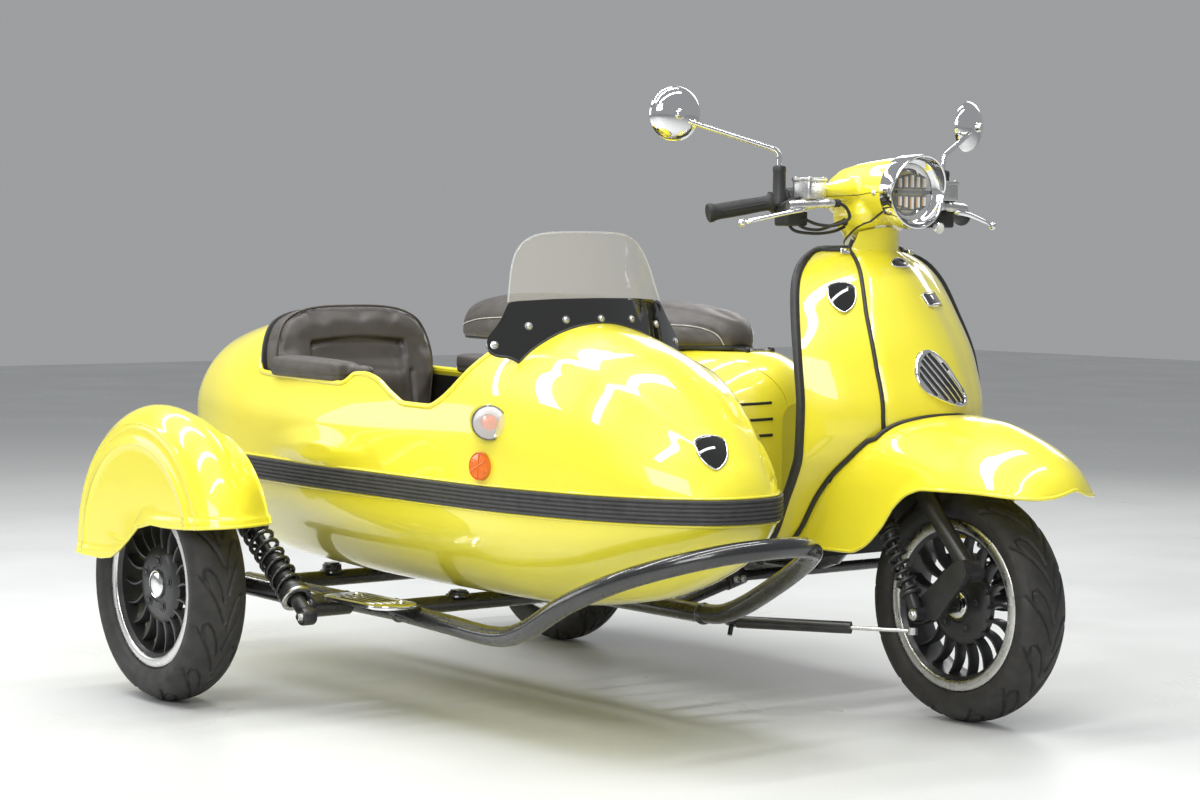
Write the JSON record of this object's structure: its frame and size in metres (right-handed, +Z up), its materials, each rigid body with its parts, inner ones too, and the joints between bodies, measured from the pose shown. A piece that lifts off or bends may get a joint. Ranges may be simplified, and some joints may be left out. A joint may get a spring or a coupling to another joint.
{
  "type": "motor scooter with sidecar",
  "caption": "Retro motor scooter with a single-seat sidecar on its right: open cockpit, small windscreen, sprung third wheel, round crash bar and steering damper.",
  "frame": {"origin": "on the ground under the middle of the outfit's bounding box", "axes": "+X forward, +Y to the rider's left, +Z up; the sidecar is on the right, at -Y"},
  "size_m": [2.053, 1.6832, 1.2341],
  "materials": {
    "yellow_paint": "gloss",
    "black_frame": "gloss",
    "cast_black": "satin",
    "engine_metal": "satin",
    "chrome": "polished",
    "silver": "satin",
    "tyre": "matte",
    "rubber_strip": "ribbed",
    "trim_rubber": "matte",
    "grip_rubber": "matte",
    "vinyl": "grained",
    "black_plastic": "satin",
    "black_acrylic": "gloss",
    "clear_screen": "clear",
    "lens_clear": "clear",
    "lens_red": "gloss",
    "lens_amber": "gloss"
  },
  "bodies": {
    "root": {"scooter_frame": "black_frame", "legshield": "yellow_paint", "legshield_trim": "trim_rubber", "front_panel": "yellow_paint", "front_fender": "yellow_paint", "well_liner": "black_plastic", "floorboard": "black_plastic", "glovebox": "black_plastic", "side_cowl_right": "yellow_paint", "side_cowl_left": "yellow_paint", "tail_body": "yellow_paint", "tail_light": "lens_red", "rear_mudguard": "black_plastic", "engine": "engine_metal", "exhaust": "cast_black", "rear_shock": "cast_black", "sidecar_hull": "yellow_paint", "sidecar_shell": "yellow_paint", "belt_strip": "rubber_strip", "windscreen": "clear_screen", "windscreen_band": "black_acrylic", "sidecar_seat": "vinyl", "sidecar_backrest": "vinyl", "armrest_pads": "vinyl", "sidecar_chassis": "black_frame", "crash_bar": "black_frame", "swing_arm": "black_frame", "sidecar_shock": "cast_black", "step_plate": "chrome", "sidecar_fender": "yellow_paint", "sidecar_lamps": "lens_amber", "damper_bracket": "black_frame"},
    "steering": {"fork": "cast_black", "front_links": "cast_black", "front_shocks": "cast_black", "headset": "yellow_paint", "headlight_ring": "chrome", "headlight_lens": "lens_clear", "grips": "grip_rubber", "levers": "silver", "mirrors": "chrome"},
    "front_wheel": {"front_tyre": "tyre", "front_rim": "cast_black"},
    "rear_wheel": {"rear_tyre": "tyre", "rear_rim": "cast_black"},
    "sidecar_wheel": {"sidecar_tyre": "tyre", "sidecar_rim": "cast_black"},
    "seat": {"scooter_seat": "vinyl"},
    "damper_body": {"damper_body": "cast_black"},
    "damper_rod": {"damper_rod": "silver"}
  },
  "joints": [
    {"name": "steering", "type": "hinge", "parent": "root", "child": "steering", "pos_m": [0.4185, 0.38239, 0.93], "axis": [-0.4226, 0, 0.9063], "range_deg": [-32, 32]},
    {"name": "front_wheel_spin", "type": "hinge", "parent": "steering", "child": "front_wheel", "pos_m": [0.7285, 0.38239, 0.2295], "axis": [0, 1, 0], "continuous": true},
    {"name": "rear_wheel_spin", "type": "hinge", "parent": "root", "child": "rear_wheel", "pos_m": [-0.6015, 0.38239, 0.236], "axis": [0, 1, 0], "continuous": true},
    {"name": "sidecar_wheel_spin", "type": "hinge", "parent": "root", "child": "sidecar_wheel", "pos_m": [-0.3855, -0.76161, 0.236], "axis": [0, 1, 0], "continuous": true},
    {"name": "seat_hinge", "type": "hinge", "parent": "root", "child": "seat", "pos_m": [0.1015, 0.38239, 0.7], "axis": [0, 1, 0], "range_deg": [0, 75]},
    {"name": "damper_swing", "type": "hinge", "parent": "root", "child": "damper_body", "pos_m": [0.3985, 0.06239, 0.182], "axis": [-0.1729, 0.3817, 0.908], "range_deg": [-10.5, 10.5]},
    {"name": "damper_slide", "type": "slide", "parent": "damper_body", "child": "damper_rod", "axis": [0.8295, 0.5585, 0], "range_m": [-0.05, 0.05]}
  ],
  "couplings": [
    {"joint": "damper_swing", "follows": "steering", "ratio": -0.3117},
    {"joint": "damper_slide", "follows": "steering", "m_per_rad": 0.04993}
  ]
}
